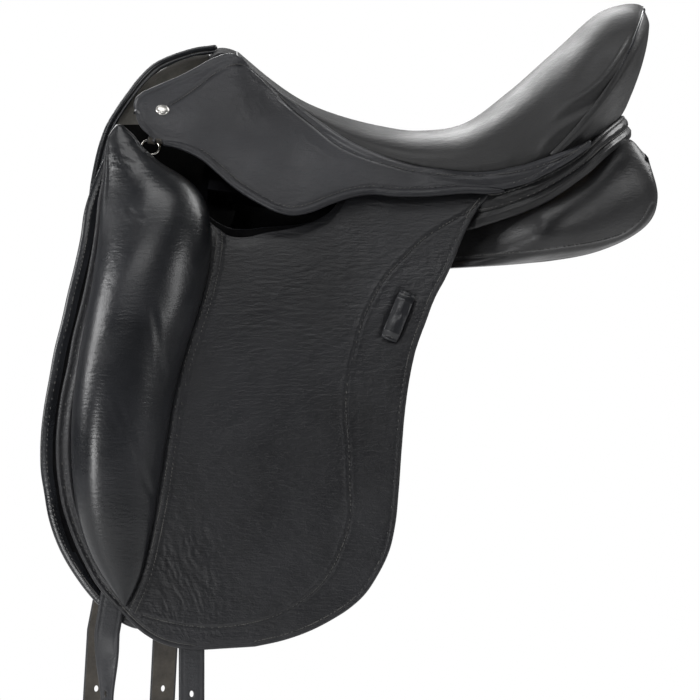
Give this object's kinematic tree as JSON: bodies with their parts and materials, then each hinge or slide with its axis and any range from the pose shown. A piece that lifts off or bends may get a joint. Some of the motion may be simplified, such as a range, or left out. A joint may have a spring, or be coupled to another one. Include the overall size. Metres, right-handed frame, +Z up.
{
  "type": "english dressage saddle",
  "caption": "Dressage saddle with long straight flaps, full-length knee blocks, deep seat, stirrup bars, dee rings and long girth straps.",
  "frame": {"origin": "deepest point of the seat's surface on the centre line", "axes": "+X rearwards to the cantle, +Y to the far (right) side, +Z up"},
  "size_m": [0.5549, 0.48, 0.8173],
  "materials": {
    "seat_leather": "smooth black grain leather, satin, slightly worn",
    "flap_leather": "black bridle leather with fine grain, semi-matt",
    "block_leather": "black calf leather, polished by the rider's leg",
    "panel_leather": "soft black panel leather, satin",
    "panel_suede": "grey-brown suede",
    "strap_leather": "black strap leather, flesh side grey-brown",
    "foam": "cut foam",
    "webbing": "woven linen webbing",
    "laminated_wood": "laminated beech, varnished",
    "steel": "forged steel, brushed",
    "nickel": "nickel plated, polished"
  },
  "bodies": {
    "root": {"bar_rivet_front_left": "steel", "bar_rivet_front_right": "steel", "bar_rivet_rear_left": "steel", "bar_rivet_rear_right": "steel", "cantle_back": "seat_leather", "cantle_plate": "steel", "cantle_welt": "seat_leather", "catch_pin_left": "steel", "catch_pin_right": "steel", "dee_chape_left": "strap_leather", "dee_chape_right": "strap_leather", "girth_web": "webbing", "gullet_lining": "panel_suede", "head_plate": "steel", "panel_left": "panel_leather", "panel_right": "panel_leather", "panel_welt_left": "panel_leather", "panel_welt_right": "panel_leather", "point_pocket_left": "panel_leather", "point_pocket_right": "panel_leather", "pommel_cover": "seat_leather", "rear_facing": "panel_leather", "seat_cover": "seat_leather", "seat_foam": "foam", "seat_web": "webbing", "skirt_head_left": "flap_leather", "skirt_head_right": "flap_leather", "spring_left": "steel", "spring_right": "steel", "stirrup_bar_left": "steel", "stirrup_bar_right": "steel", "stud_left": "nickel", "stud_right": "nickel", "tree": "laminated_wood"},
    "dee_left": {"dee_left": "nickel"},
    "dee_right": {"dee_right": "nickel"},
    "flap_left": {"flap_left": "flap_leather", "keeper_left": "flap_leather", "knee_block_cover_left": "block_leather", "knee_block_foam_left": "foam"},
    "flap_right": {"flap_right": "flap_leather", "keeper_right": "flap_leather", "knee_block_cover_right": "block_leather", "knee_block_foam_right": "foam"},
    "strap_front_left": {"girth_strap_front_left": "strap_leather"},
    "strap_front_right": {"girth_strap_front_right": "strap_leather"},
    "strap_rear_left": {"girth_strap_rear_left": "strap_leather"},
    "strap_rear_right": {"girth_strap_rear_right": "strap_leather"},
    "catch_left": {"safety_catch_left": "steel"},
    "catch_right": {"safety_catch_right": "steel"},
    "skirt_left": {"skirt_left": "flap_leather"},
    "skirt_right": {"skirt_right": "flap_leather"},
    "sweat_left": {"sweat_flap_left": "flap_leather"},
    "sweat_right": {"sweat_flap_right": "flap_leather"}
  },
  "joints": [
    {"name": "sweat_lift_left", "type": "hinge", "parent": "root", "child": "sweat_left", "pos_m": [-0.085, -0.12497, -0.02936], "axis": [-0.9884, 0.0593, 0.14], "range_deg": [0, 20]},
    {"name": "flap_lift_left", "type": "hinge", "parent": "sweat_left", "child": "flap_left", "pos_m": [-0.085, -0.12497, -0.02936], "axis": [-0.9884, 0.0593, 0.14], "range_deg": [0, 70]},
    {"name": "skirt_lift_left", "type": "hinge", "parent": "flap_left", "child": "skirt_left", "pos_m": [-0.085, -0.12497, -0.02936], "axis": [-0.9884, 0.0593, 0.14], "range_deg": [0, 45]},
    {"name": "strap_swing_front_left", "type": "hinge", "parent": "sweat_left", "child": "strap_front_left", "pos_m": [-0.218, -0.15076, -0.11], "axis": [-0.0107, -0.9185, 0.3954], "range_deg": [-6, 3]},
    {"name": "strap_swing_rear_left", "type": "hinge", "parent": "sweat_left", "child": "strap_rear_left", "pos_m": [-0.15, -0.15911, -0.13], "axis": [-0.002, -0.9256, 0.3784], "range_deg": [-3, 6]},
    {"name": "catch_turn_left", "type": "hinge", "parent": "root", "child": "catch_left", "pos_m": [-0.10685, -0.13346, -0.06127], "axis": [0.0179, -0.869, 0.4945], "range_deg": [0, 90]},
    {"name": "dee_swing_left", "type": "hinge", "parent": "root", "child": "dee_left", "pos_m": [-0.2375, -0.10525, -0.0082], "axis": [-0.9884, 0.0593, 0.14], "range_deg": [0, 35]},
    {"name": "sweat_lift_right", "type": "hinge", "parent": "root", "child": "sweat_right", "pos_m": [-0.085, 0.12497, -0.02936], "axis": [0.9884, 0.0593, -0.14], "range_deg": [0, 20]},
    {"name": "flap_lift_right", "type": "hinge", "parent": "sweat_right", "child": "flap_right", "pos_m": [-0.085, 0.12497, -0.02936], "axis": [0.9884, 0.0593, -0.14], "range_deg": [0, 70]},
    {"name": "skirt_lift_right", "type": "hinge", "parent": "flap_right", "child": "skirt_right", "pos_m": [-0.085, 0.12497, -0.02936], "axis": [0.9884, 0.0593, -0.14], "range_deg": [0, 45]},
    {"name": "strap_swing_front_right", "type": "hinge", "parent": "sweat_right", "child": "strap_front_right", "pos_m": [-0.218, 0.15076, -0.11], "axis": [0.0107, -0.9185, -0.3954], "range_deg": [-6, 3]},
    {"name": "strap_swing_rear_right", "type": "hinge", "parent": "sweat_right", "child": "strap_rear_right", "pos_m": [-0.15, 0.15911, -0.13], "axis": [0.002, -0.9256, -0.3784], "range_deg": [-3, 6]},
    {"name": "catch_turn_right", "type": "hinge", "parent": "root", "child": "catch_right", "pos_m": [-0.10685, 0.13346, -0.06127], "axis": [-0.0179, -0.869, -0.4945], "range_deg": [0, 90]},
    {"name": "dee_swing_right", "type": "hinge", "parent": "root", "child": "dee_right", "pos_m": [-0.2375, 0.10525, -0.0082], "axis": [0.9884, 0.0593, -0.14], "range_deg": [0, 35]}
  ]
}
